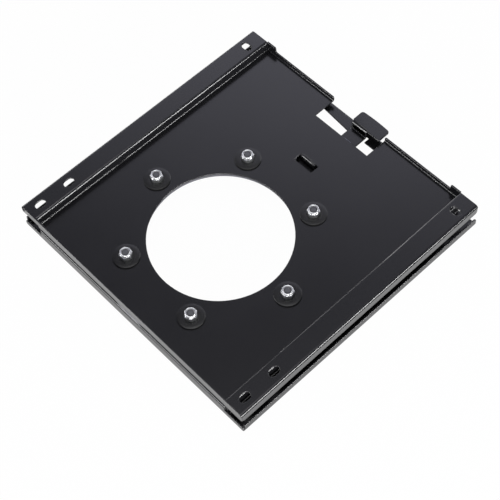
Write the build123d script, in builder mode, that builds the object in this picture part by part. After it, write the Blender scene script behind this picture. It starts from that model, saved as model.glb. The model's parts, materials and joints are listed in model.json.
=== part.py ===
"""Swivel seat base: two folded steel plates that turn on each other, with a lift-to-release lever.

Millimetres. Z is the swivel axis, Z = 0 is the top face of the upper plate, and the lever is at +Y.
"""
import os

from build123d import *

os.makedirs("parts", exist_ok=True)

# Folded plates
sheet = 2.0
bend_inside = 1.0
plate_width = 348.2
lower_overhang = 0.8
front_reach = 132.2
rear_reach = 215.1
flange_setback = 1.3
plate_gap = 5.4
upper_rise = 12.8
lower_drop = 13.8
flange_width = 26.0
upper_left_lip = 10.0
upper_right_lip = 13.5
lower_lip = 12.0
lower_front_lip = 7.5
lip_end_round = 4.0
rear_lip = 5.7
rear_post_width = 14.0
lip_corner = 2.2

# Slots in the flanges, for the seat rails above and the seat box below
slot_width = 8.5
slot_length = 13.0
slot_inset = 13.1
front_slot_inset = 16.7
front_slot_pitch = 40.0
rear_slot_inset = 23.1

# Swivel: discs and bushes on six bolts
disc_front_gap = 0.2
disc_outer_rim = 29.2
centre_hole_rim = 22.8
bolt_count = 6
bolt_diameter = 8.0
bolt_hole_clearance = 0.3
bolt_chamfer = 0.8
head_across = 13.0
head_height = 5.3
thread_clearance = 0.05
slide_clearance = 0.1
disc_hole_step = 1.5
disc_hook_relief = 1.0
sleeve_radius = 6.0
sleeve_clearance = 0.1
bush_radius = 11.0
bush_clearance = 0.3
slide_ring_thickness = 2.0
clamp_thickness = 3.0
clamp_outer_rim = 22.2
clamp_inner_rim = 12.8
washer_radius = 15.0
washer_thickness = 2.0
washer_edge = 0.5
nut_across = 13.0
nut_hex_height = 5.2
nut_bevel = 0.6
nut_collar_radius = 6.0
nut_collar_round = 0.8
nut_height = 8.0
nut_turns = (-12.0, -21.0, -2.0, -20.0, 5.0, 20.0)
nut_rim = 0.8
nut_rim_radius = 4.5
insert_radius = 5.2
insert_height = 1.8
bolt_end_below_nut = 0.5

# Lever: one folded sheet that hooks into the upper plate
lever_sheet = 2.5
lever_bend_inside = 1.2
lever_clearance = 2.0
hook_slot_left = -15.0
hook_slot_right = 11.0
hook_slot_clearance = 1.5
hook_slot_depth = 10.7
hook_play = 0.3
hook_width = 23.0
hook_reach = 0.6
hook_dome = 2.0
hook_bend_inside = 0.3
arm_middle = 8.1
arm_width = 22.0
arm_taper_length = 11.0
web_inset = 9.1
web_window_width = 15.5
web_window_height = 5.6
pad_left = -4.0
pad_right = 37.5
pad_length = 17.3
pad_bulge = 0.9
pad_corner = 3.5
pad_lift = 6.6

# Openings for the lever: a notch in the upper plate, a window and a keeper slot in the lower one
notch_left = -41.0
notch_right = 38.5
notch_depth = 30.1
window_left = -46.0
window_right = 42.0
window_depth = 35.1
keeper_play = 1.3
keeper_start = 8.0
strip_left = 12.8
strip_middle = 16.5
strip_right = 15.3

# Leaf spring on the lever
spring_sheet = 0.5
spring_width = 10.0
spring_flat = 16.0
spring_rise_length = 12.0
spring_tip = 6.0
spring_clearance = 0.1
rivet_radius = 1.5
rivet_head_radius = 3.0
rivet_head_height = 0.35
rivet_clearance = 0.05

# Levels, from the upper plate's top face down
upper_under = -sheet
lower_top = upper_under - plate_gap
lower_under = lower_top - sheet
flange_top = upper_rise
base_bottom = lower_under - lower_drop
disc_under = lower_top + slide_clearance
clamp_top = lower_under - slide_clearance - slide_ring_thickness
clamp_under = clamp_top - clamp_thickness
nut_top = washer_thickness + nut_height
bolt_end = nut_top - bolt_end_below_nut
arm_top = upper_under - lever_clearance
pad_top = pad_lift

# Places across the plates
bend_outside = bend_inside + sheet
tray_half = plate_width / 2 - flange_width
flat_half = tray_half + sheet - bend_outside
wall_middle = tray_half + sheet / 2
lower_half = plate_width / 2 + lower_overhang
flange_reach = rear_reach - flange_setback
slot_offset = plate_width / 2 - slot_inset

# Radii of the swivel, from the front edge of the plates inwards
disc_radius = front_reach - disc_front_gap
bolt_circle_radius = disc_radius - disc_outer_rim
centre_hole_radius = bolt_circle_radius - centre_hole_rim
clamp_radius = bolt_circle_radius + clamp_outer_rim
clamp_hole_radius = bolt_circle_radius - clamp_inner_rim
bolt_radius = bolt_diameter / 2
bolt_hole_radius = bolt_radius + bolt_hole_clearance
sleeve_hole_radius = sleeve_radius + sleeve_clearance
lower_hole_radius = bolt_circle_radius + bush_radius + bush_clearance

# Places along the lever, from the slide disc to the rear edge
hook_slot_far = disc_radius + hook_slot_clearance + lever_sheet
hook_slot_near = hook_slot_far - hook_slot_depth
notch_near = rear_reach - notch_depth
window_near = rear_reach - window_depth
web_reach = rear_reach - web_inset
pad_reach = web_reach + pad_length
arm_left = arm_middle - arm_width / 2
arm_right = arm_middle + arm_width / 2
keeper_left = arm_left - keeper_play
keeper_right = arm_right + keeper_play
keeper_near = hook_slot_far + keeper_start
keeper_far = web_reach + keeper_play


def hat_section(half_width, left_lip_end, right_lip_end, flange_level, tray_level):
    """Section across a plate: lip, flange, wall, tray, wall, flange and lip, folded from one sheet."""
    lip_middle = half_width - sheet / 2
    with BuildLine() as fold:
        FilletPolyline(
            (-lip_middle, left_lip_end),
            (-lip_middle, flange_level),
            (-wall_middle, flange_level),
            (-wall_middle, tray_level),
            (wall_middle, tray_level),
            (wall_middle, flange_level),
            (lip_middle, flange_level),
            (lip_middle, right_lip_end),
            radius=bend_inside + sheet / 2,
        )
    trace(fold.line, line_width=sheet)


def fold_corner(y, z, y_inward, z_inward, radius):
    """What a square corner at y, z has more than a bend of that radius."""
    with BuildSketch(Plane.YZ.offset(-flat_half)) as corner:
        with Locations((y + y_inward * radius / 2, z + z_inward * radius / 2)):
            Rectangle(radius, radius)
        with Locations((y + y_inward * radius, z + z_inward * radius)):
            Circle(radius, mode=Mode.SUBTRACT)
    return corner.sketch


def round_fold(y, z, y_inward, z_inward):
    """Rounds a fold along X, whose outer square corner would be at y, z, on both sides of the sheet."""
    outside = fold_corner(y, z, y_inward, z_inward, bend_outside)
    extrude(outside, amount=2 * flat_half, mode=Mode.SUBTRACT)
    inside = fold_corner(y + y_inward * sheet, z + z_inward * sheet, y_inward, z_inward, bend_inside)
    extrude(inside, amount=2 * flat_half)


def ear_corners(wall):
    """The outer corners of a front wall, where it covers the ends of the flanges."""
    ends = wall.vertices().group_by(Axis.X)
    return ends[0] + ends[-1]


def lip_ends(plate):
    """The short edges across the sheet at the rear ends of the side lips."""
    rear_edges = plate.edges().filter_by(Axis.X).group_by(Axis.Y)[-1]
    return rear_edges.filter_by(lambda edge: edge.length < sheet + bend_inside / 2)


def flange_slots():
    """Two slots along Y at the front of each flange, and one along X at the rear."""
    first = -front_reach + front_slot_inset
    for x in (-slot_offset, slot_offset):
        with Locations((x, first), (x, first + front_slot_pitch)):
            SlotOverall(slot_length, slot_width, rotation=90)
        with Locations((x, rear_reach - rear_slot_inset)):
            SlotOverall(slot_length, slot_width)


def bolt_circle_holes(radius):
    """One hole on each of the six swivel bolts."""
    with PolarLocations(bolt_circle_radius, bolt_count):
        Circle(radius)


# Upper plate: flanges stand above the tray, and the lips hang from them
with BuildPart() as upper_plate:
    with BuildSketch(Plane.XZ.offset(-flange_reach)):
        left_end = flange_top - upper_left_lip
        right_end = flange_top - upper_right_lip
        hat_section(plate_width / 2, left_end, right_end, flange_top - sheet / 2, -sheet / 2)
    extrude(amount=flange_reach + front_reach - sheet)
    fillet(lip_ends(upper_plate), lip_end_round)
    # Front wall, folded up from the tray and carried across the ends of the flanges
    with BuildSketch(Plane.XZ.offset(front_reach - sheet)) as upper_front:
        with Locations((0, flange_top)):
            Rectangle(2 * flat_half, flange_top - upper_under, align=(Align.CENTER, Align.MAX))
            Rectangle(plate_width / 2, upper_left_lip, align=Align.MAX)
            Rectangle(plate_width / 2, upper_right_lip, align=(Align.MIN, Align.MAX))
        fillet(ear_corners(upper_front), bend_outside)
    extrude(amount=sheet)
    round_fold(-front_reach, upper_under, 1, 1)
    # Rear lip, low along the tray and full height beside the side walls
    with BuildSketch(Plane.XZ.offset(-rear_reach)) as rear_fold:
        with Locations((-flat_half, upper_under)):
            Rectangle(flat_half + notch_left, sheet + rear_lip, align=Align.MIN)
        with Locations((flat_half, upper_under)):
            Rectangle(flat_half - notch_right, sheet + rear_lip, align=(Align.MAX, Align.MIN))
        with Locations((-wall_middle, flange_top)):
            Rectangle(rear_post_width, upper_rise - bend_inside, align=(Align.MIN, Align.MAX))
        with Locations((wall_middle, flange_top)):
            Rectangle(rear_post_width, upper_rise - bend_inside, align=Align.MAX)
        levels = rear_fold.vertices().group_by(Axis.Y)
        post_corners = levels[-1].sort_by(lambda corner: abs(corner.X))[:2]
        fillet(levels[-2] + post_corners, lip_corner)
    extrude(amount=sheet)
    round_fold(rear_reach, upper_under, -1, 1)
    with BuildSketch(Plane.XY.offset(flange_top)):
        Circle(centre_hole_radius)
        bolt_circle_holes(bolt_hole_radius)
        flange_slots()
        with Locations((hook_slot_left, hook_slot_near)):
            Rectangle(hook_slot_right - hook_slot_left, hook_slot_depth, align=Align.MIN)
        with Locations((notch_left, notch_near)):
            Rectangle(notch_right - notch_left, rear_reach - notch_near, align=Align.MIN)
    extrude(amount=lower_top - flange_top, mode=Mode.SUBTRACT)
upper_plate.part.label = "upper_plate"
export_step(upper_plate.part, "parts/upper_plate.step")

# Lower plate: the same fold turned over, with its lips standing up
with BuildPart() as lower_plate:
    with BuildSketch(Plane.XZ.offset(-flange_reach)):
        lip_end = base_bottom + lower_lip
        hat_section(lower_half, lip_end, lip_end, base_bottom + sheet / 2, lower_top - sheet / 2)
    extrude(amount=flange_reach + front_reach - sheet)
    fillet(lip_ends(lower_plate), lip_end_round)
    with BuildSketch(Plane.XZ.offset(front_reach - sheet)) as lower_front:
        with Locations((0, base_bottom)):
            Rectangle(2 * flat_half, lower_top - base_bottom, align=(Align.CENTER, Align.MIN))
            Rectangle(2 * lower_half, lower_front_lip, align=(Align.CENTER, Align.MIN))
        fillet(ear_corners(lower_front), bend_outside)
    extrude(amount=sheet)
    round_fold(-front_reach, lower_top, 1, -1)
    with BuildSketch(Plane.XZ.offset(-rear_reach)):
        with Locations((0, lower_top)):
            Rectangle(2 * flat_half, sheet + rear_lip, align=(Align.CENTER, Align.MAX))
    extrude(amount=sheet)
    round_fold(rear_reach, lower_top, -1, -1)
    with BuildSketch(Plane.XY.offset(lower_top)):
        Circle(lower_hole_radius)
        flange_slots()
        # Window that shows under the notch, open towards the strip that the lever locks into
        with BuildLine():
            Polyline(
                (window_left, window_near),
                (window_right, window_near),
                (window_right, rear_reach - strip_right),
                (keeper_right, rear_reach - strip_right),
                (keeper_left, rear_reach - strip_middle),
                (window_left, rear_reach - strip_left),
                close=True,
            )
        make_face()
        with Locations((keeper_left, keeper_near)):
            Rectangle(keeper_right - keeper_left, keeper_far - keeper_near, align=Align.MIN)
    extrude(amount=base_bottom - lower_top, mode=Mode.SUBTRACT)
lower_plate.part.label = "lower_plate"
export_step(lower_plate.part, "parts/lower_plate.step")

# Slide disc between the plates
with BuildPart() as slide_disc:
    with BuildSketch(Plane.XY.offset(disc_under)):
        Circle(disc_radius)
        Circle(centre_hole_radius + disc_hole_step, mode=Mode.SUBTRACT)
    extrude(amount=upper_under - disc_under)
    with BuildSketch(Plane.XY.offset(disc_under)):
        bolt_circle_holes(sleeve_hole_radius)
        # Room below the slot for the lever's hook
        with Locations((hook_slot_left - disc_hook_relief, hook_slot_near - disc_hook_relief)):
            Rectangle(hook_slot_right - hook_slot_left + 2 * disc_hook_relief, disc_radius, align=Align.MIN)
    extrude(amount=upper_under - disc_under, mode=Mode.SUBTRACT)
slide_disc.part.label = "slide_disc"
export_step(slide_disc.part, "parts/slide_disc.step")

# On each bolt, a steel sleeve that carries the clamping, and a bush that runs inside the lower plate's hole
for number in range(1, bolt_count + 1):
    bolt_angle = 360 / bolt_count * (number - 1)
    with BuildPart() as spacer_sleeve:
        with BuildSketch(Plane.XY.offset(clamp_top)):
            with PolarLocations(bolt_circle_radius, 1, start_angle=bolt_angle):
                Circle(sleeve_radius)
                Circle(bolt_hole_radius, mode=Mode.SUBTRACT)
        extrude(amount=upper_under - clamp_top)
    spacer_sleeve.part.label = f"spacer_sleeve_{number}"
    export_step(spacer_sleeve.part, f"parts/spacer_sleeve_{number}.step")
    with BuildPart() as guide_bush:
        with BuildSketch(Plane.XY.offset(clamp_top)):
            with PolarLocations(bolt_circle_radius, 1, start_angle=bolt_angle):
                Circle(bush_radius)
                Circle(sleeve_hole_radius, mode=Mode.SUBTRACT)
        extrude(amount=disc_under - clamp_top)
    guide_bush.part.label = f"guide_bush_{number}"
    export_step(guide_bush.part, f"parts/guide_bush_{number}.step")

# Slide ring under the lower plate's rim
with BuildPart() as lower_slide_ring:
    with BuildSketch(Plane.XY.offset(clamp_top)):
        Circle(clamp_radius)
        Circle(lower_hole_radius + bush_clearance, mode=Mode.SUBTRACT)
    extrude(amount=slide_ring_thickness)
lower_slide_ring.part.label = "lower_slide_ring"
export_step(lower_slide_ring.part, "parts/lower_slide_ring.step")

# Clamp ring that the bolts pull up
with BuildPart() as clamp_ring:
    with BuildSketch(Plane.XY.offset(clamp_under)):
        Circle(clamp_radius)
        Circle(clamp_hole_radius, mode=Mode.SUBTRACT)
    extrude(amount=clamp_thickness)
    with BuildSketch(Plane.XY.offset(clamp_under)):
        bolt_circle_holes(bolt_hole_radius)
    extrude(amount=clamp_thickness, mode=Mode.SUBTRACT)
clamp_ring.part.label = "clamp_ring"
export_step(clamp_ring.part, "parts/clamp_ring.step")

# Swivel bolts, heads down
with BuildPart() as swivel_bolts:
    with BuildSketch(Plane.XY.offset(clamp_under)):
        with PolarLocations(bolt_circle_radius, bolt_count):
            RegularPolygon(head_across / 2, 6, major_radius=False)
    extrude(amount=-head_height)
    with BuildSketch(Plane.XY.offset(clamp_under)):
        with PolarLocations(bolt_circle_radius, bolt_count):
            Circle(bolt_radius)
    extrude(amount=bolt_end - clamp_under)
    chamfer(swivel_bolts.edges().filter_by(GeomType.CIRCLE).group_by(Axis.Z)[-1], bolt_chamfer)
swivel_bolts.part.label = "swivel_bolts"
export_step(swivel_bolts.part, "parts/swivel_bolts.step")

# Washers under the nuts
with BuildPart() as top_washers:
    with BuildSketch(Plane.XY):
        with PolarLocations(bolt_circle_radius, bolt_count):
            Circle(washer_radius)
            Circle(bolt_hole_radius, mode=Mode.SUBTRACT)
    extrude(amount=washer_thickness)
    top_edges = top_washers.edges().filter_by(GeomType.CIRCLE).group_by(Axis.Z)[-1]
    fillet(top_edges.group_by(SortBy.RADIUS)[-1], washer_edge)
top_washers.part.label = "top_washers"
export_step(top_washers.part, "parts/top_washers.step")

# Self-locking nuts: a bevelled hexagon with a round collar that holds the insert
with BuildPart() as lock_nuts:
    with BuildSketch(Plane.XY.offset(washer_thickness)):
        for number in range(bolt_count):
            turn = nut_turns[number % len(nut_turns)]
            with PolarLocations(bolt_circle_radius, 1, start_angle=360 / bolt_count * number):
                RegularPolygon(nut_across / 2, 6, major_radius=False, rotation=turn)
    extrude(amount=nut_hex_height)
    chamfer(lock_nuts.edges().group_by(Axis.Z)[-1], nut_bevel)
    with BuildSketch(Plane.XY.offset(washer_thickness + nut_hex_height)):
        with PolarLocations(bolt_circle_radius, bolt_count):
            Circle(nut_collar_radius)
    extrude(amount=nut_height - nut_hex_height)
    fillet(lock_nuts.edges().group_by(Axis.Z)[-1], nut_collar_round)
    with BuildSketch(Plane.XY.offset(nut_top)):
        bolt_circle_holes(bolt_radius + thread_clearance)
    extrude(amount=-nut_height, mode=Mode.SUBTRACT)
    # Rolled rim over the insert's groove
    with BuildSketch(Plane.XY.offset(nut_top)):
        bolt_circle_holes(nut_rim_radius)
    extrude(amount=-nut_rim, mode=Mode.SUBTRACT)
    with BuildSketch(Plane.XY.offset(nut_top - nut_rim)):
        bolt_circle_holes(insert_radius)
    extrude(amount=-insert_height, mode=Mode.SUBTRACT)
lock_nuts.part.label = "lock_nuts"
export_step(lock_nuts.part, "parts/lock_nuts.step")

# Nylon inserts in the nuts
with BuildPart() as nut_inserts:
    with BuildSketch(Plane.XY.offset(nut_top - nut_rim)):
        with PolarLocations(bolt_circle_radius, bolt_count):
            Circle(insert_radius - thread_clearance)
            Circle(bolt_radius + thread_clearance, mode=Mode.SUBTRACT)
    extrude(amount=-insert_height)
nut_inserts.part.label = "nut_inserts"
export_step(nut_inserts.part, "parts/nut_inserts.step")

# Lever, from the hook's tip to the pad
lever_bend = lever_bend_inside + lever_sheet / 2
hook_bend = hook_bend_inside + lever_sheet / 2
arm_level = arm_top - lever_sheet / 2
pad_level = pad_top - lever_sheet / 2
tab_level = hook_slot_far - hook_play - lever_sheet / 2
web_level = web_reach - lever_sheet / 2
hook_level = hook_play + lever_sheet / 2
hook_top = hook_play + lever_sheet
hook_tip = hook_slot_far + hook_reach
hook_left = hook_slot_left + hook_play
hook_right = hook_left + hook_width
arm_near = tab_level + lever_bend
arm_far = web_level - lever_bend
# The leaf spring lies on the middle of the arm
spring_length = spring_flat + spring_rise_length + spring_tip
spring_near = (arm_near + arm_far - spring_length) / 2
spring_bend = spring_near + spring_flat
rivet_place = (arm_middle, spring_near + spring_flat / 2)
with BuildPart() as release_lever:
    # Hook that reaches up through its slot and over the far edge
    with BuildSketch(Plane.YZ.offset(hook_left)):
        with BuildLine():
            FilletPolyline(
                (hook_tip, hook_level),
                (tab_level, hook_level),
                (tab_level, arm_level),
                (arm_near, arm_level),
                radius=hook_bend,
            )
        trace(line_width=lever_sheet)
    extrude(amount=hook_width)
    # Top of the hook, domed along its length
    with BuildSketch(Plane.XZ.offset(-hook_tip)):
        with BuildLine():
            ThreePointArc(
                (hook_left, hook_top - hook_dome),
                ((hook_left + hook_right) / 2, hook_top),
                (hook_right, hook_top - hook_dome),
            )
            Polyline(
                (hook_right, hook_top - hook_dome),
                (hook_right, hook_top + hook_dome),
                (hook_left, hook_top + hook_dome),
                (hook_left, hook_top - hook_dome),
            )
        make_face()
    extrude(amount=hook_tip - tab_level + lever_sheet, mode=Mode.SUBTRACT)
    # Arm, narrowing from the hook to the web
    with BuildSketch(Plane.XY.offset(arm_top)):
        with BuildLine():
            Polyline(
                (hook_left, arm_near),
                (arm_right, arm_near),
                (arm_right, arm_far),
                (arm_left, arm_far),
                (arm_left, arm_near + arm_taper_length),
                close=True,
            )
        make_face()
        with Locations(rivet_place):
            Circle(rivet_radius + rivet_clearance, mode=Mode.SUBTRACT)
    extrude(amount=-lever_sheet)
    # Web up to the pad, with its window
    with BuildSketch(Plane.YZ.offset(arm_left)):
        with BuildLine():
            FilletPolyline(
                (arm_far - lever_sheet, arm_level),
                (web_level, arm_level),
                (web_level, pad_level),
                (web_level + lever_bend + lever_sheet, pad_level),
                radius=lever_bend,
            )
        trace(line_width=lever_sheet)
    extrude(amount=arm_width)
    with BuildSketch(Plane.XZ.offset(-web_level)):
        with Locations((arm_middle, (arm_level + pad_level) / 2)):
            Rectangle(web_window_width, web_window_height)
    extrude(amount=lever_sheet, both=True, mode=Mode.SUBTRACT)
    # Finger pad, with a bowed far edge and rounded corners
    with BuildSketch(Plane.XY.offset(pad_top)) as pad_outline:
        with BuildLine():
            Polyline(
                (pad_left, pad_reach - pad_bulge),
                (pad_left, web_level + lever_bend),
                (arm_right, web_level + lever_bend),
                (arm_right, web_level),
                (pad_right, web_level),
                (pad_right, pad_reach - pad_bulge),
            )
            ThreePointArc(
                (pad_right, pad_reach - pad_bulge),
                ((pad_left + pad_right) / 2, pad_reach),
                (pad_left, pad_reach - pad_bulge),
            )
        make_face()
        fillet(pad_outline.vertices().group_by(Axis.Y)[-1], pad_corner)
    extrude(amount=-lever_sheet)
release_lever.part.label = "release_lever"
export_step(release_lever.part, "parts/release_lever.step")

# Leaf spring that pushes the lever down from the upper plate
spring_seat = arm_top + spring_sheet / 2
spring_peak = upper_under - spring_clearance - spring_sheet / 2
spring_end = spring_bend + spring_rise_length
with BuildPart() as lever_spring:
    with BuildSketch(Plane.YZ.offset(arm_middle - spring_width / 2)):
        with BuildLine():
            Polyline(
                (spring_near, spring_seat),
                (spring_bend, spring_seat),
                (spring_end, spring_peak),
                (spring_end + spring_tip, spring_peak),
            )
        trace(line_width=spring_sheet)
    extrude(amount=spring_width)
    with BuildSketch(Plane.XY.offset(upper_under)):
        with Locations(rivet_place):
            Circle(rivet_radius + rivet_clearance)
    extrude(amount=arm_top - upper_under, mode=Mode.SUBTRACT)
lever_spring.part.label = "lever_spring"
export_step(lever_spring.part, "parts/lever_spring.step")

# Rivet through the spring, flush under the arm
with BuildPart() as spring_rivet:
    with BuildSketch(Plane.XY.offset(arm_top + spring_sheet)):
        with Locations(rivet_place):
            Circle(rivet_head_radius)
    extrude(amount=rivet_head_height)
    with BuildSketch(Plane.XY.offset(arm_top + spring_sheet)):
        with Locations(rivet_place):
            Circle(rivet_radius)
    extrude(amount=-(spring_sheet + lever_sheet))
spring_rivet.part.label = "spring_rivet"
export_step(spring_rivet.part, "parts/spring_rivet.step")
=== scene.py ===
# %% [markdown]
# # Swivel seat base
# Two folded steel plates turn on each other about a big cable hole. Six bolts with self-locking nuts
# hold them together, and a lever at the rear edge locks the turn. The solids come ready from the
# frame, so this lesson gives them their finish: eased edges, turned nuts and bolts, paint and light.

# %% The frame and its box
import itertools
import json
import math

import bmesh
import bpy
from mathutils import Matrix, Vector


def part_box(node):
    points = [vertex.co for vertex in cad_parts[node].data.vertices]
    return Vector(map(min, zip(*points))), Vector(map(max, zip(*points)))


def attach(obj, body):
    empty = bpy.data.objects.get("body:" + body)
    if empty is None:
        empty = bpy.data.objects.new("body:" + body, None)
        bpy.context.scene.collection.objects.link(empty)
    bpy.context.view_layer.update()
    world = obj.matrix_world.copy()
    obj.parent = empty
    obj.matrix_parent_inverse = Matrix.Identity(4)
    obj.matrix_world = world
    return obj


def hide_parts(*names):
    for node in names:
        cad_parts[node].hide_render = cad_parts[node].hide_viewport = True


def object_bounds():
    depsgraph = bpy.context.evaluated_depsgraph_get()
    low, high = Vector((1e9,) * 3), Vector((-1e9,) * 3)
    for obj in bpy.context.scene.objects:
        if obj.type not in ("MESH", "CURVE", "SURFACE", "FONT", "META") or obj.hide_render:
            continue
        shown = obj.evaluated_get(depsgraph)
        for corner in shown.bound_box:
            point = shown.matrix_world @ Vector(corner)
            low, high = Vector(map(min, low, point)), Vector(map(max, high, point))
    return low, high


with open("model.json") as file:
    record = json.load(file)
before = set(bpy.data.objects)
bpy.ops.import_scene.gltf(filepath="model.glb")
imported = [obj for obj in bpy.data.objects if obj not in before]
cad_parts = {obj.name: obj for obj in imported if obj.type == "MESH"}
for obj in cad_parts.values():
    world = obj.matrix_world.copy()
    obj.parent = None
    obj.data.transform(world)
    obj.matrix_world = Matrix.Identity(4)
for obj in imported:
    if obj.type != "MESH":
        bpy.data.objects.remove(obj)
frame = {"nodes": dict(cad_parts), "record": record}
cad_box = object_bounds()
print("CAD box", [[round(v, 4) for v in corner] for corner in cad_box])

# %% [markdown]
# Everything turned sits on the six swivel bolts, so their places are read from the spacer sleeves,
# which are plain tubes round the bolts. A millimetre is named once, because Blender works in metres.

# %% Places of the six bolts
MM = 0.001
BOLT_COUNT = 6


def middle(node):
    """Middle of a node's box."""
    low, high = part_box(node)
    return (low + high) / 2


bolt_places = [middle(f"spacer_sleeve_{number}") for number in range(1, BOLT_COUNT + 1)]
for place in bolt_places:
    place.z = 0
print("bolt circle radius", round(bolt_places[0].length / MM, 2), "mm")

# %% [markdown]
# Shader maths reads best as sums. This small class wraps one socket: plus, minus, times and divide
# add Math nodes, also with a number on the left, and `node` adds any other node in one call.


# %% A socket that can be used in sums
class Wire:
    """A shader socket of one node tree."""

    def __init__(self, tree, socket=None):
        self.tree = tree
        self.socket = socket

    def node(self, kind, settings=None, values=None, output=0):
        """Adds a node: its settings first, a ramp's stops among them, then its sockets."""
        made = self.tree.nodes.new(kind)
        for name, value in (settings or {}).items():
            if name == "stops":
                self.set_stops(made.color_ramp.elements, value)
            else:
                setattr(made, name, value)
        for name, value in (values or {}).items():
            if isinstance(value, Wire):
                self.tree.links.new(value.socket, made.inputs[name])
            else:
                made.inputs[name].default_value = value
        return Wire(self.tree, made.outputs[output] if made.outputs else None)

    def set_stops(self, elements, stops):
        """Gives a ramp one stop for each place and grey level."""
        while len(elements) < len(stops):
            elements.new(1.0)
        for element, (place, level) in zip(elements, stops):
            element.position = place
            element.color = (level, level, level, 1)

    def math(self, operation, first, second):
        """Adds a Math node for two wires or numbers."""
        return self.node("ShaderNodeMath", {"operation": operation}, {0: first, 1: second})

    def __add__(self, other):
        return self.math("ADD", self, other)

    def __sub__(self, other):
        return self.math("SUBTRACT", self, other)

    def __rsub__(self, other):
        return self.math("SUBTRACT", other, self)

    def __mul__(self, other):
        return self.math("MULTIPLY", self, other)

    def __truediv__(self, other):
        return self.math("DIVIDE", self, other)

    __radd__ = __add__
    __rmul__ = __mul__


def finish(name, paint):
    """A material whose surface is what paint returns."""
    material = bpy.data.materials.new(name)
    material.use_nodes = True
    material.node_tree.nodes.clear()
    start = Wire(material.node_tree)
    start.node("ShaderNodeOutputMaterial", values={"Surface": paint(start)})
    print("finish", name, len(material.node_tree.nodes), "nodes")
    return material


# %% [markdown]
# Several finishes need the same two things: a soft pattern over the surface and fine bumps. Both
# come from noise in the object's own space, where one unit is a metre, so the size of the pattern
# is written as a real length. The floor and the sky also share a ramp of grey levels and a way to
# take one part of a vector.


# %% Patterns shared by the finishes
def grain(start, size, detail=2.0):
    """Noise whose patches are about size across, from 0 to 1."""
    place = start.node("ShaderNodeTexCoord", output="Object")
    values = {"Vector": place, "Scale": 1 / size, "Detail": detail}
    return start.node("ShaderNodeTexNoise", values=values)


def blend(start, share, first, second, kind="MIX"):
    """A colour between two colours, or their sum or product."""
    settings = {"data_type": "RGBA", "blend_type": kind}
    return start.node("ShaderNodeMix", settings, {0: share, 6: first, 7: second}, output=2)


def bumps(start, height, depth):
    """A normal with bumps of that depth."""
    return start.node("ShaderNodeBump", values={"Distance": depth, "Height": height})


def ramp(start, stops, place):
    """The grey level that the stops give at a place from 0 to 1."""
    return start.node("ShaderNodeValToRGB", {"stops": stops}, {"Fac": place})


def part(start, vector, axis):
    """One part of a vector."""
    return start.node("ShaderNodeSeparateXYZ", values={"Vector": vector}, output=axis)


def grey(level, blue=1.0):
    """A grey, or a tinted one where blue isn't 1."""
    return (level, level, level * blue, 1)


# %% [markdown]
# The plates are powder coated in satin black. Powder melts into a skin with a fine orange peel, so
# the gloss is soft but still mirrors the room, most strongly at a flat angle. The shader's clear
# coat strengthens that mirror.


# %% Satin black powder coat
def powder_coat(start):
    cloud = grain(start, 60 * MM)
    peel = grain(start, 1.1 * MM, detail=1.0)
    values = {
        "Base Color": blend(start, cloud, grey(0.0055, 1.15), grey(0.0075, 1.15)),
        "Roughness": 0.17 + cloud * 0.05 + peel * 0.03,
        "IOR": 1.5,
        "Coat Weight": 0.6,
        "Coat Roughness": 0.17,
        "Normal": bumps(start, peel, 0.0008 * MM),
    }
    return start.node("ShaderNodeBsdfPrincipled", values=values)


coat = finish("satin_black_powder_coat", powder_coat)


# %% [markdown]
# The big washers under the nuts are blackened rather than powder coated: a little duller, with a
# warm cast beside the blue of the plates.


# %% Blackened washers
def blackened(start):
    cloud = grain(start, 14 * MM)
    speck = grain(start, 0.5 * MM, detail=1.0)
    values = {
        "Base Color": blend(start, cloud, grey(0.008, 0.95), grey(0.011, 0.95)),
        "Roughness": 0.2 + cloud * 0.05 + speck * 0.04,
        "IOR": 1.5,
        "Coat Weight": 0.25,
        "Coat Roughness": 0.2,
        "Normal": bumps(start, speck, 0.002 * MM),
    }
    return start.node("ShaderNodeBsdfPrincipled", values=values)


washer_black = finish("blackened_washer", blackened)


# %% [markdown]
# Nuts, bolts, sleeves and the rivet are zinc plated: a bright and nearly neutral metal with faint
# cloudy patches where the plating is thicker.


# %% Bright zinc plate
def zinc_plate(start):
    cloud = grain(start, 3 * MM, detail=3.0)
    fine = grain(start, 0.25 * MM, detail=1.0)
    values = {
        "Base Color": blend(start, cloud, (0.82, 0.83, 0.83, 1), (0.92, 0.93, 0.93, 1)),
        "Metallic": 1.0,
        "Roughness": 0.22 + cloud * 0.08 + fine * 0.05,
        "Normal": bumps(start, fine, 0.004 * MM),
    }
    return start.node("ShaderNodeBsdfPrincipled", values=values)


zinc = finish("bright_zinc_plate", zinc_plate)


# %% [markdown]
# The rest is mostly out of sight in the swivel: natural nylon in the nuts and bushes, grey slide
# plastic, and blued spring steel for the leaf that pushes the lever down.


# %% Nylon, slide plastic and spring steel
def nylon(start):
    cloud = grain(start, 5 * MM)
    values = {
        "Base Color": blend(start, cloud, (0.74, 0.73, 0.68, 1), (0.82, 0.81, 0.77, 1)),
        "Roughness": 0.4 + cloud * 0.15,
        "Normal": bumps(start, grain(start, 0.4 * MM), 0.006 * MM),
    }
    return start.node("ShaderNodeBsdfPrincipled", values=values)


def slide_plastic(start):
    cloud = grain(start, 20 * MM)
    values = {
        "Base Color": blend(start, cloud, grey(0.11, 1.12), grey(0.13, 1.12)),
        "Roughness": 0.16 + cloud * 0.06,
        "Normal": bumps(start, grain(start, 0.6 * MM), 0.002 * MM),
    }
    return start.node("ShaderNodeBsdfPrincipled", values=values)


def spring_steel(start):
    cloud = grain(start, 6 * MM, detail=3.0)
    values = {
        "Base Color": blend(start, cloud, (0.1, 0.105, 0.125, 1), (0.17, 0.17, 0.19, 1)),
        "Metallic": 1.0,
        "Roughness": 0.28 + cloud * 0.14,
        "Normal": bumps(start, grain(start, 0.3 * MM), 0.003 * MM),
    }
    return start.node("ShaderNodeBsdfPrincipled", values=values)


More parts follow.
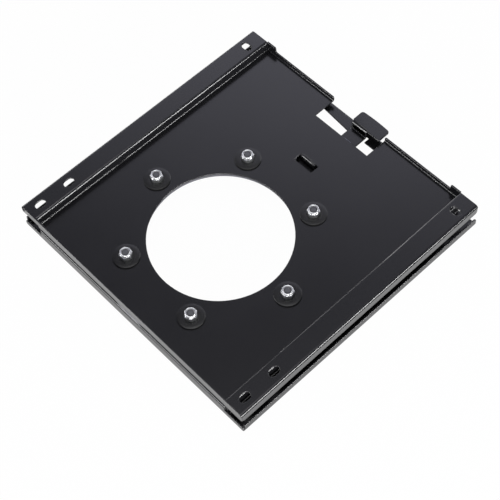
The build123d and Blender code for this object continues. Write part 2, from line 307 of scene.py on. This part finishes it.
natural_nylon = finish("natural_nylon", nylon)
grey_plastic = finish("grey_slide_plastic", slide_plastic)
blued_steel = finish("blued_spring_steel", spring_steel)

# %% [markdown]
# Each new piece has to ride on its body, hide the node it stands for and take the finish of that
# node's slot. One function does this for all of them, so that no piece is forgotten. A piece may
# bring a finish of its own, or else it takes the one of its slot.

# %% Adding a piece
FINISHES = {
    "black_powder_coat": coat,
    "black_washer": washer_black,
    "zinc_plate": zinc,
    "natural_nylon": natural_nylon,
    "slide_plastic": grey_plastic,
    "spring_steel": blued_steel,
}
node_slots = {row["node"]: row["material_slot"] for row in frame["record"]["subparts"]}
node_bodies = {
    node: body for body, nodes in frame["record"]["behaviour"]["bodies"].items() for node in nodes
}


def add_piece(name, mesh, node, paint=None):
    """Puts a mesh in the place of a node, on that node's body."""
    piece = bpy.data.objects.new(name, mesh)
    bpy.context.scene.collection.objects.link(piece)
    mesh.materials.clear()
    mesh.materials.append(paint or FINISHES[node_slots[node]])
    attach(piece, node_bodies[node])
    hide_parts(node)
    print("piece", name, "for", node, len(mesh.polygons), "faces")
    return piece


# %% [markdown]
# Real sheet has no knife edges: the shears leave a small round and the powder builds up on it, and
# that round is what draws a bright line along every edge. The CAD edges are sharp, so each sheet is
# copied, its triangles are merged into whole faces, and its sharp edges are bevelled. Weighted
# normals then keep the flat faces flat.


# %% Easing the sharp edges
SHARP_ABOVE = math.radians(40)
FLAT_BELOW = math.radians(0.3)
WELD = 1e-6
WIDTHS_NEEDED = 2.2
EASE_SEGMENTS = 3


def outer_edges(shape, width):
    """The sharp outer edges that have room for a round, so none at a tight corner."""
    sharp = [
        edge for edge in shape.edges
        if edge.is_manifold and edge.calc_face_angle_signed() > SHARP_ABOVE
    ]
    known = set(sharp)
    tight = set()
    for vertex in shape.verts:
        here = [edge for edge in vertex.link_edges if edge in known]
        for pair in itertools.combinations(here, 2):
            first, second = (edge.other_vert(vertex).co - vertex.co for edge in pair)
            between = first.angle(second)
            if between < SHARP_ABOVE:
                tight.update(pair)
            elif between < math.pi - SHARP_ABOVE:
                tight.update(edge for edge in pair if edge.calc_length() < WIDTHS_NEEDED * width)
    return [edge for edge in sharp if edge not in tight]


def eased(node, width):
    """A copy of a node's mesh with its sharp outer edges rounded."""
    shape = bmesh.new()
    shape.from_mesh(frame["nodes"][node].data)
    bmesh.ops.remove_doubles(shape, verts=shape.verts, dist=WELD)
    bmesh.ops.dissolve_limit(shape, angle_limit=FLAT_BELOW, verts=shape.verts, edges=shape.edges)
    sharp = outer_edges(shape, width)
    bmesh.ops.bevel(
        shape, geom=sharp, offset=width, offset_type="OFFSET", segments=EASE_SEGMENTS,
        profile=0.5, affect="EDGES", clamp_overlap=False,
    )
    loose = sum(not edge.is_manifold for edge in shape.edges)
    mesh = bpy.data.meshes.new(f"{node}_eased")
    shape.to_mesh(mesh)
    shape.free()
    mesh.shade_smooth()
    mesh.set_sharp_from_angle(angle=SHARP_ABOVE)
    print("eased", node, len(sharp), "edges,", loose, "open edges")
    return add_weighted(mesh)


def add_weighted(mesh):
    """The mesh with normals that favour its large faces."""
    carrier = bpy.data.objects.new("carrier", mesh)
    bpy.context.scene.collection.objects.link(carrier)
    modifier = carrier.modifiers.new("weighted", "WEIGHTED_NORMAL")
    modifier.keep_sharp = True
    modifier.weight = 100
    graph = bpy.context.evaluated_depsgraph_get()
    weighted = bpy.data.meshes.new_from_object(carrier.evaluated_get(graph))
    weighted.name = mesh.name
    bpy.data.objects.remove(carrier)
    return weighted


# %% Folded sheets, rings and the spring
for node, width in (
    ("upper_plate", 0.75 * MM),
    ("lower_plate", 0.75 * MM),
    ("release_lever", 0.75 * MM),
    ("clamp_ring", 0.45 * MM),
    ("slide_disc", 0.4 * MM),
    ("lower_slide_ring", 0.3 * MM),
    ("lever_spring", 0.1 * MM),
):
    add_piece(f"{node}_sheet", eased(node, width), node)

# %% [markdown]
# Nuts, bolts, washers, sleeves and bushes are turned or drawn, so a section that runs round an axis
# gives them. A hexagon fits the same scheme if the section may change with the angle: the radius of
# a hexagon is its half width over the cosine of the angle from the middle of a flat. The function
# takes a section for each angle and skins them.


# %% Turning a section round an axis
SMOOTH_BELOW = math.radians(32)
ROUND_STEPS = 3


def even_angles(count):
    """Angles that divide a turn evenly."""
    return [2 * math.pi * step / count for step in range(count)]


def turned(name, places, section, angles):
    """A skin over closed sections, each a list of radius and height, at each place and turn."""
    shape = bmesh.new()
    for place, turn in places:
        rows = []
        for angle in angles:
            way = Vector((math.cos(angle + turn), math.sin(angle + turn), 0))
            rows.append([
                shape.verts.new((place.x + way.x * r, place.y + way.y * r, z))
                for r, z in section(angle)
            ])
        for row, after in zip(rows, rows[1:] + rows[:1]):
            for a, b, c, d in zip(row, row[1:] + row[:1], after[1:] + after[:1], after):
                shape.faces.new((a, d, c, b))
    bmesh.ops.remove_doubles(shape, verts=shape.verts, dist=WELD)
    bmesh.ops.dissolve_degenerate(shape, edges=shape.edges, dist=WELD)
    bmesh.ops.recalc_face_normals(shape, faces=shape.faces)
    mesh = bpy.data.meshes.new(name)
    shape.to_mesh(mesh)
    shape.free()
    mesh.shade_smooth()
    mesh.set_sharp_from_angle(angle=SMOOTH_BELOW)
    return mesh


def rounded(corners, radius):
    """A closed section with its corners rounded."""
    points = []
    trios = zip(corners[-1:] + corners[:-1], corners, corners[1:] + corners[:1])
    for before, corner, after in trios:
        corner = Vector(corner)
        into = (corner - Vector(before)).normalized()
        out = (Vector(after) - corner).normalized()
        for step in range(ROUND_STEPS + 1):
            share = step / ROUND_STEPS
            start = corner - into * radius
            end = corner + out * radius
            points.append(start.lerp(corner, share).lerp(corner.lerp(end, share), share))
    return [(point.x, point.y) for point in points]


# %% [markdown]
# The washers are stamped, so their rims are rounded on both faces. The steel sleeves and the nylon
# bushes are turned tubes with eased ends.


# %% Washers, sleeves and bushes
BOLT_RADIUS = 4 * MM
HOLE_CLEARANCE = 0.3 * MM
SLEEVE_CLEARANCE = 0.1 * MM
WASHER_ROUND, WASHER_STEPS = 0.7 * MM, 96
SLEEVE_ROUND, SLEEVE_STEPS = 0.3 * MM, 48
BUSH_ROUND, BUSH_STEPS = 0.6 * MM, 64


def ring_section(inner, outer, low, high, radius):
    """The section of a ring, the same at every angle."""
    corners = [(inner, low), (outer, low), (outer, high), (inner, high)]
    points = rounded(corners, radius)
    return lambda angle: points


washer_low, washer_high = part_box("top_washers")
washer_radius = washer_high.x - bolt_places[0].x
hole_radius = BOLT_RADIUS + HOLE_CLEARANCE
washer = ring_section(hole_radius, washer_radius, washer_low.z, washer_high.z, WASHER_ROUND)
straight = [(place, 0.0) for place in bolt_places]
washers = turned("large_washers", straight, washer, even_angles(WASHER_STEPS))
add_piece("large_washers", washers, "top_washers")

sleeve_low, sleeve_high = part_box("spacer_sleeve_1")
bush_low, bush_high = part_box("guide_bush_1")
sleeve_radius = (sleeve_high.x - sleeve_low.x) / 2
bush_radius = (bush_high.x - bush_low.x) / 2
bush_bore = sleeve_radius + SLEEVE_CLEARANCE
sleeve = ring_section(hole_radius, sleeve_radius, sleeve_low.z, sleeve_high.z, SLEEVE_ROUND)
bush = ring_section(bush_bore, bush_radius, bush_low.z, bush_high.z, BUSH_ROUND)
for number, place in enumerate(bolt_places, start=1):
    here = [(place, 0.0)]
    name = f"turned_sleeve_{number}"
    tube = turned(name, here, sleeve, even_angles(SLEEVE_STEPS))
    add_piece(name, tube, f"spacer_sleeve_{number}")
    name = f"turned_bush_{number}"
    tube = turned(name, here, bush, even_angles(BUSH_STEPS))
    add_piece(name, tube, f"guide_bush_{number}")

# %% [markdown]
# A self-locking nut is a hexagon whose corners are cut by a cone, with a round collar rolled in over
# a nylon ring. The bright ring that shows from above is the rolled rim, and inside it a throat slopes
# down to the bolt and hides most of the nylon. Each nut stopped at its own turn when it was
# tightened, so the turn of each is read from the corners of its solid.

# %% Angles and radius of a hexagon
HALF_ACROSS = 6.5 * MM
HALF_FLAT = math.radians(30)
CORNER_EASE = math.radians(1.2)
MIDDLE_DEGREES = range(-24, 25, 6)
middle_angles = [math.radians(degrees) for degrees in MIDDLE_DEGREES]
flat_angles = [CORNER_EASE - HALF_FLAT, *middle_angles, HALF_FLAT - CORNER_EASE]
hex_angles = [side * 2 * HALF_FLAT + angle for side in range(6) for angle in flat_angles]


def hex_radius(angle, half_across):
    """Radius of a hexagon with the middle of a flat at angle 0."""
    off_middle = (angle + HALF_FLAT) % (2 * HALF_FLAT) - HALF_FLAT
    return half_across / math.cos(off_middle)


def nut_turn(place):
    """Turn of a nut's flats, from the corner of its solid that lies furthest from the bolt."""
    solid = frame["nodes"]["lock_nuts"].data
    spokes = [vertex.co.xy - place.xy for vertex in solid.vertices]
    own = [spoke for spoke in spokes if spoke.length < 2 * HALF_ACROSS]
    corner = max(own, key=lambda spoke: spoke.length)
    return math.atan2(corner.y, corner.x) + HALF_FLAT


nut_places = [(place, nut_turn(place)) for place in bolt_places]
print("nut turns", [round(math.degrees(turn) % 60, 1) for place, turn in nut_places])

# %% Self-locking nuts
nut_low, nut_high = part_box("lock_nuts")
insert_low, insert_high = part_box("nut_inserts")
CONE = math.tan(HALF_FLAT)
FACE_RADIUS = 6.45 * MM
HEX_HEIGHT = 5.2 * MM
COLLAR_RADIUS = 6.2 * MM
COLLAR_ROUND = 0.7 * MM
COLLAR_STEP = 0.15 * MM
RIM_RADIUS = 5.1 * MM
RIM_DROP = 0.06 * MM
THROAT_RADIUS = 4.2 * MM
INSERT_RADIUS = 5.2 * MM
INSERT_ROUND, INSERT_STEPS = 0.3 * MM, 48
THREAD_CLEARANCE = 0.05 * MM
BORE_CHAMFER = 0.5 * MM
QUARTER_STEPS = 5
thread_bore = BOLT_RADIUS + THREAD_CLEARANCE


def quarter(radius, height, size, start):
    """Points on a quarter round about a middle, from an angle in degrees upwards."""
    steps = range(QUARTER_STEPS + 1)
    turns = [math.radians(start + 90 * step / QUARTER_STEPS) for step in steps]
    return [(radius + size * math.cos(turn), height + size * math.sin(turn)) for turn in turns]


def nut_section(angle):
    """From the bore's lower edge out over the hexagon, up the collar and back down the bore."""
    side = hex_radius(angle, HALF_ACROSS)
    cut = (side - FACE_RADIUS) * CONE
    shoulder = nut_low.z + HEX_HEIGHT
    return [
        (thread_bore + BORE_CHAMFER, nut_low.z),
        (FACE_RADIUS, nut_low.z),
        (side, nut_low.z + cut),
        (side, shoulder - cut),
        (FACE_RADIUS, shoulder),
        (COLLAR_RADIUS, shoulder + COLLAR_STEP),
        *quarter(COLLAR_RADIUS - COLLAR_ROUND, nut_high.z - COLLAR_ROUND, COLLAR_ROUND, 0),
        (RIM_RADIUS, nut_high.z - RIM_DROP),
        (THROAT_RADIUS, insert_high.z),
        (INSERT_RADIUS, insert_high.z),
        (INSERT_RADIUS, insert_low.z),
        (thread_bore, insert_low.z),
        (thread_bore, nut_low.z + BORE_CHAMFER),
    ]


nuts = turned("self_locking_nuts", nut_places, nut_section, hex_angles)
add_piece("self_locking_nuts", nuts, "lock_nuts")
ring_radius = INSERT_RADIUS - THREAD_CLEARANCE
insert = ring_section(thread_bore, ring_radius, insert_low.z, insert_high.z, INSERT_ROUND)
rings = turned("nylon_rings", straight, insert, even_angles(INSERT_STEPS))
add_piece("nylon_rings", rings, "nut_inserts")

# %% [markdown]
# The bolts hang head down, so their heads show from below and their ends inside the nuts. The head
# is a hexagon with the same cone, and the shank carries a rolled metric thread: along the shank the
# radius follows a wave that climbs one pitch in each turn. The end that shows in the nut is painted
# darker than the plating, as painted shade for the recess it sits in.

# %% Swivel bolts with heads and threads
bolt_low, bolt_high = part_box("swivel_bolts")
head_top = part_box("clamp_ring")[0].z
PITCH = 1.25 * MM
THREAD_DEPTH = 0.62 * MM
THREAD_LENGTH = 17 * MM
END_CHAMFER = 0.8 * MM
# Length of the bolt end inside the nut that gets painted shade.
PAINTED_SHADE_LENGTH = 2.5 * MM
HEAD_FACE_RADIUS = 6.1 * MM
SEAT_RADIUS = 5.9 * MM
SEAT_STEP = 0.3 * MM
STEPS_PER_PITCH = 8
thread_start = bolt_high.z - THREAD_LENGTH
ring_count = round(THREAD_LENGTH / PITCH * STEPS_PER_PITCH)
thread_heights = [
    thread_start + THREAD_LENGTH * ring / ring_count for ring in range(ring_count + 1)
]


def thread_radius(angle, height):
    """Outer radius less a wave, with a run-out at the start and a cone at the end."""
    along = (height - thread_start) / PITCH - angle / (2 * math.pi)
    groove = 0.5 - 0.5 * math.cos(2 * math.pi * along)
    run_out = min(1, (height - thread_start) / PITCH)
    radius = BOLT_RADIUS - THREAD_DEPTH * groove * run_out
    return min(radius, BOLT_RADIUS - END_CHAMFER + bolt_high.z - height)


def bolt_section(angle):
    """From the middle of the head out and up to the end of the shank."""
    side = hex_radius(angle, HALF_ACROSS)
    cut = (side - HEAD_FACE_RADIUS) * CONE
    return [
        (0, bolt_low.z),
        (HEAD_FACE_RADIUS, bolt_low.z),
        (side, bolt_low.z + cut),
        (side, head_top - SEAT_STEP),
        (SEAT_RADIUS, head_top - SEAT_STEP),
        (SEAT_RADIUS, head_top),
        (BOLT_RADIUS, head_top),
        *[(thread_radius(angle, height), height) for height in thread_heights],
        (0, bolt_high.z),
    ]


def bolt_zinc(start):
    """Zinc plate, with painted shade on the end inside the nut: a dark colour, and rougher."""
    cloud = grain(start, 2 * MM, detail=3.0)
    place = start.node("ShaderNodeTexCoord", output="Object")
    # Painted shade: the end inside the nut is coloured dark and made rougher, standing for the shade
    # in the nut's recess.
    painted_shade_end = start.math("GREATER_THAN", part(start, place, "Z"), bolt_high.z - PAINTED_SHADE_LENGTH)
    values = {
        "Base Color": blend(start, painted_shade_end, (0.82, 0.83, 0.83, 1), (0.15, 0.152, 0.158, 1)),
        "Metallic": 1.0,
        "Roughness": 0.24 + painted_shade_end * 0.14 + cloud * 0.12,
        "Normal": bumps(start, cloud, 0.02 * MM),
    }
    return start.node("ShaderNodeBsdfPrincipled", values=values)


bolts = turned("hex_bolts", straight, bolt_section, hex_angles)
add_piece("hex_bolts", bolts, "swivel_bolts", finish("zinc_with_painted_shade_end", bolt_zinc))

# %% [markdown]
# The leaf spring is held by one rivet with a flat domed head, flush under the arm.

# %% Spring rivet
rivet_low, rivet_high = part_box("spring_rivet")
rivet_place = middle("spring_rivet")
rivet_head = (rivet_high.x - rivet_low.x) / 2
RIVET_RADIUS = 1.5 * MM
RIVET_HEAD_HEIGHT = 0.35 * MM
RIVET_EDGE = 0.12 * MM
RIVET_STEPS = 40
DOME_SHARE = 0.8
CROWN_SHARE = 0.4


def rivet_section(angle):
    """From the middle of the lower end out and up over the head."""
    under = rivet_high.z - RIVET_HEAD_HEIGHT
    return [
        (0, rivet_low.z),
        (RIVET_RADIUS - RIVET_EDGE, rivet_low.z),
        (RIVET_RADIUS, rivet_low.z + RIVET_EDGE),
        (RIVET_RADIUS, under),
        (rivet_head - RIVET_EDGE, under),
        (rivet_head, under + RIVET_EDGE),
        (rivet_head * DOME_SHARE, rivet_high.z - RIVET_EDGE / 2),
        (rivet_head * CROWN_SHARE, rivet_high.z),
        (0, rivet_high.z),
    ]


rivet = turned("flat_rivet", [(rivet_place, 0.0)], rivet_section, even_angles(RIVET_STEPS))
add_piece("flat_rivet", rivet, "spring_rivet")

# %% [markdown]
# The floor is a large pale sheet under the base. To the camera and to reflections it is nearly all
# a plain white glow, and the small rest is ordinary diffuse white, which keeps a light shadow. In
# reflections the floor shows painted light: only a narrow band along the left, right and front sides
# of the base is bright, as on a table lit from there, with painted shade under the base and beyond
# the band. Steep faces mirror that band, and the bends above them mirror the dim floor beyond. The
# closed channels along those sides get a painted shadow: the floor inside them is dark to the camera,
# as no light would get in. From below the sheet is clear, so that the underside of the base shows.

# %% Floor
FLOOR_REACH = 14.0
FLOOR_LEVEL = 0.9
WHITE_SHARE = 0.98
PAINTED_STRIP_REACH = 0.1
PAINTED_STRIP_STOPS = (
    (0.4, 0.2), (0.5, 0.58), (0.54, 0.64), (0.55, 0.95), (0.565, 0.95), (0.58, 0.1), (1.0, 0.1)
)
CHANNEL_WIDTH = 24 * MM
BEND_WIDTH = 3.5 * MM
right_end = cad_box[1][0]
front_end = cad_box[0][1]
ground = cad_box[0][2]
channel_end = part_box("lower_plate")[1].y


def floor_paint(start):
    """White to the camera, with painted shadow in the side channels, and to reflections a painted
    band of light round the base.
    """
    seen = start.node("ShaderNodeLightPath", output="Is Camera Ray")
    mirrored = start.node("ShaderNodeLightPath", output="Is Glossy Ray")
    through = start.node("ShaderNodeLightPath", output="Is Transmission Ray")
    place = start.node("ShaderNodeTexCoord", output="Object")
    along = part(start, place, "Y")
    side = start.math("ABSOLUTE", part(start, place, "X"), 0)
    gap = start.math("MAXIMUM", side - right_end, front_end - along)
    # Painted shadow: inside the closed side channels the floor's white glow to the camera is switched
    # off by position.
    near_edge = start.math("GREATER_THAN", gap, -CHANNEL_WIDTH)
    behind_bend = start.math("LESS_THAN", gap, -BEND_WIDTH)
    before_end = start.math("LESS_THAN", along, channel_end)
    painted_channel_shadow = near_edge * behind_bend * before_end
    # Painted light and shade for reflections: bright in a band just beyond the sides of the base, dim
    # under it and further out.
    painted_light_strip = ramp(start, PAINTED_STRIP_STOPS, gap / (2 * PAINTED_STRIP_REACH) + 0.5)
    light = seen * (1 - painted_channel_shadow) + through + mirrored * painted_light_strip
    plain = start.node("ShaderNodeBsdfDiffuse", values={"Color": grey(FLOOR_LEVEL)})
    glow = start.node("ShaderNodeEmission", values={"Color": light, "Strength": 1.0})
    share = (seen + mirrored + through) * WHITE_SHARE
    white = start.node("ShaderNodeMixShader", values={0: share, 1: plain, 2: glow})
    below = start.node("ShaderNodeNewGeometry", output="Backfacing")
    clear = start.node("ShaderNodeBsdfTransparent")
    return start.node("ShaderNodeMixShader", values={0: below, 1: white, 2: clear})


SQUARE = ((-1, -1), (1, -1), (1, 1), (-1, 1))
corners = [(x * FLOOR_REACH, y * FLOOR_REACH, ground) for x, y in SQUARE]
floor_mesh = bpy.data.meshes.new("floor")
floor_mesh.from_pydata(corners, [], [(0, 1, 2, 3)])
floor_mesh.materials.append(finish("pale_floor", floor_paint))
floor = bpy.data.objects.new("floor", floor_mesh)
bpy.context.scene.collection.objects.link(floor)

# %% [markdown]
# Black paint shows little of its own, so the surroundings draw the shape. The tray mirrors the sky
# at about sixty degrees, and it is lighter at the rear left, so the sky brightens in that direction:
# a ramp over how far a ray leans to the rear left gives it. A cap keeps the sky dim near the horizon.
# A low band of light round the horizon, as from the walls of a bright room, lines the rounded edges,
# but not on the right, where a lamp stands. A patch of light straight above falls on the flat tops.

# %% Sky
LIGHT_SIDE = (-0.575, 0.818, 0)
RIGHT_SIDE = (0.95, 0.31, 0)
SKY_TINT = (0.97, 0.97, 1.13, 1)
HORIZON_STOPS = ((0.0, 3.4), (0.15, 3.4), (0.23, 0.0), (0.93, 0.0), (0.97, 2.0), (1.0, 2.0))
WALL_STOPS = ((0.0, 1.0), (0.8, 1.0), (0.88, 0.0), (1.0, 0.0))
CAP_STOPS = ((0.0, 0.26), (0.5, 0.26), (0.72, 1.5), (1.0, 1.5))
SKY_STOPS = (
    (0.0, 0.18), (0.735, 0.18), (0.755, 0.24), (0.777, 0.48), (0.807, 0.92), (0.84, 1.28), (1.0, 1.28)
)
world = bpy.data.worlds.new("studio")
world.use_nodes = True
world.node_tree.nodes.clear()
bpy.context.scene.world = world
sky = Wire(world.node_tree)
ray = sky.node("ShaderNodeTexCoord", output="Generated")
height = part(sky, ray, "Z")


def lean(side):
    """How far a ray leans to a side, from 0 straight away from it to 1 straight at it."""
    values = {0: ray, 1: side}
    turned_to = sky.node("ShaderNodeVectorMath", {"operation": "DOT_PRODUCT"}, values, "Value")
    return turned_to * 0.5 + 0.5


horizon = ramp(sky, WALL_STOPS, lean(RIGHT_SIDE)) * ramp(sky, HORIZON_STOPS, height)
slope = ramp(sky, SKY_STOPS, lean(LIGHT_SIDE))
capped = sky.math("MINIMUM", slope, ramp(sky, CAP_STOPS, height))
tinted = blend(sky, 1.0, capped, SKY_TINT, "MULTIPLY")
glow = blend(sky, 1.0, tinted, horizon, "ADD")
seen = sky.node("ShaderNodeLightPath", output="Is Camera Ray")
lighting = sky.node("ShaderNodeBackground", values={"Color": glow, "Strength": 1.0})
backdrop = sky.node("ShaderNodeBackground", values={"Color": grey(1.0), "Strength": 1.0})
surface = sky.node("ShaderNodeMixShader", values={0: seen, 1: lighting, 2: backdrop})
sky.node("ShaderNodeOutputWorld", values={"Surface": surface})
print("sky", len(world.node_tree.nodes), "nodes")

# %% [markdown]
# Three long soft boxes near the horizon draw the bright lines along the bends: strong ones on the
# right and off the near corner, and a weaker one at the front left. All look at the middle.

# %% Soft boxes
BOX_HEIGHT = 0.36


def soft_box(name, place, width, radiance):
    """A long low lamp whose glow has that radiance."""
    lamp = bpy.data.lights.new(name, "AREA")
    lamp.shape = "RECTANGLE"
    lamp.size, lamp.size_y = width, BOX_HEIGHT
    lamp.energy = radiance * width * BOX_HEIGHT * math.pi
    box = bpy.data.objects.new(name, lamp)
    box.location = place
    box.rotation_euler = (-Vector(place)).to_track_quat("-Z", "Y").to_euler()
    bpy.context.scene.collection.objects.link(box)
    print("soft box", name, round(lamp.energy, 1), "W")


soft_box("right_box", (2.45, 0.4, 0.4), 1.8, 31.0)
soft_box("near_box", (1.96, -1.48, 0.28), 1.6, 32.0)
soft_box("front_box", (-1.1, -2.3, 0.34), 2.0, 10.0)

# %% [markdown]
# The camera stands where a fit of the photographed edges puts it: its direction, its roll, its lens
# and its distance all come from that fit.

# %% Camera
AZIMUTH = math.radians(50.65578)
ELEVATION = math.radians(58.59277)
ROLL = math.radians(-4.88436)
EYE = Vector((0.59804, -0.45133, 1.19084))
SENSOR_WIDTH = 36
FOCAL_LENGTH = 94.713
NEAREST, FURTHEST = 0.01, 100
back = Vector((
    math.sin(AZIMUTH) * math.cos(ELEVATION),
    -math.cos(AZIMUTH) * math.cos(ELEVATION),
    math.sin(ELEVATION),
))
level = Vector((math.cos(AZIMUTH), math.sin(AZIMUTH), 0))
upward = back.cross(level)
right = math.cos(ROLL) * level + math.sin(ROLL) * upward
top = back.cross(right)
lens = bpy.data.cameras.new("camera")
lens.sensor_width = SENSOR_WIDTH
lens.lens = FOCAL_LENGTH
lens.clip_start, lens.clip_end = NEAREST, FURTHEST
camera = bpy.data.objects.new("camera", lens)
bpy.context.scene.collection.objects.link(camera)
camera.matrix_world = Matrix.Translation(EYE) @ Matrix((right, top, back)).transposed().to_4x4()
bpy.context.scene.camera = camera
bpy.context.scene.view_settings.view_transform = "Standard"
print("camera", [round(v, 3) for v in camera.location])
